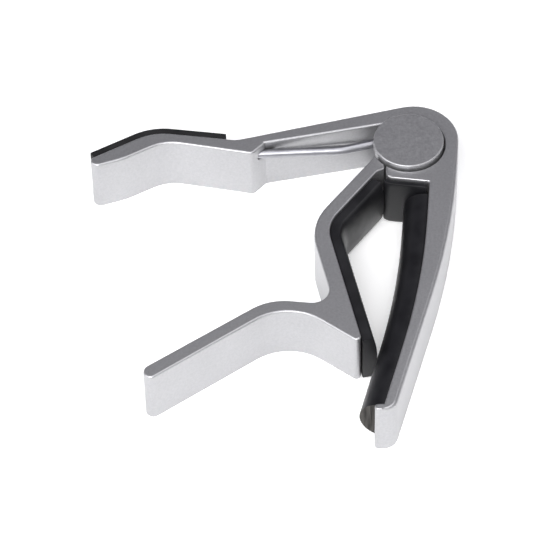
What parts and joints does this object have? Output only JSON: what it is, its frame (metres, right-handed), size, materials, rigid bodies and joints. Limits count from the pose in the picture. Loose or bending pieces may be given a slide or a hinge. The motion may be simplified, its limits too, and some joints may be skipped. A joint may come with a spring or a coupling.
{
  "type": "guitar capo",
  "caption": "Spring clamp for a guitar neck: curved padded jaw and grip on one casting, padded bent lever with a handle on the other, turning on a pin under a round cap.",
  "frame": {"origin": "on the turning axis of the lever, in the flat underside the clamp lies on", "axes": "+Z along the turning axis towards the cap, +Y against the direction in which the fretboard jaw runs, +X away from the grip"},
  "size_m": [0.0769, 0.0799, 0.0142],
  "materials": {
    "satin_metal": "die cast light alloy with a satin silver-grey coat of fine metallic grain",
    "pin_steel": "turned steel, dull",
    "bright_steel": "polished bright spring steel",
    "nylon": "unfilled natural nylon, smooth",
    "black_rubber": "moulded black rubber with a soft sheen",
    "grip_rubber": "dark grey matt rubber sheet"
  },
  "bodies": {
    "frame_body": {"frame": "satin_metal", "fret_pad": "black_rubber", "head_pad": "black_rubber", "grip_pad": "grip_rubber", "pivot_pin": "pin_steel", "pivot_cap": "satin_metal", "retaining_clip": "bright_steel", "pivot_bush": "nylon", "lower_washer": "nylon", "upper_washer": "nylon", "torsion_spring": "bright_steel"},
    "lever_body": {"trigger_lever": "satin_metal", "neck_pad": "black_rubber"}
  },
  "joints": [
    {"name": "lever_hinge", "type": "hinge", "parent": "frame_body", "child": "lever_body", "pos_m": [0, 0, 0.0065], "axis": [0, 0, -1], "range_deg": [0, 30], "stiffness_Nm_per_rad": 1.9, "springref_deg": -28.65, "deforming": ["torsion_spring"]}
  ]
}
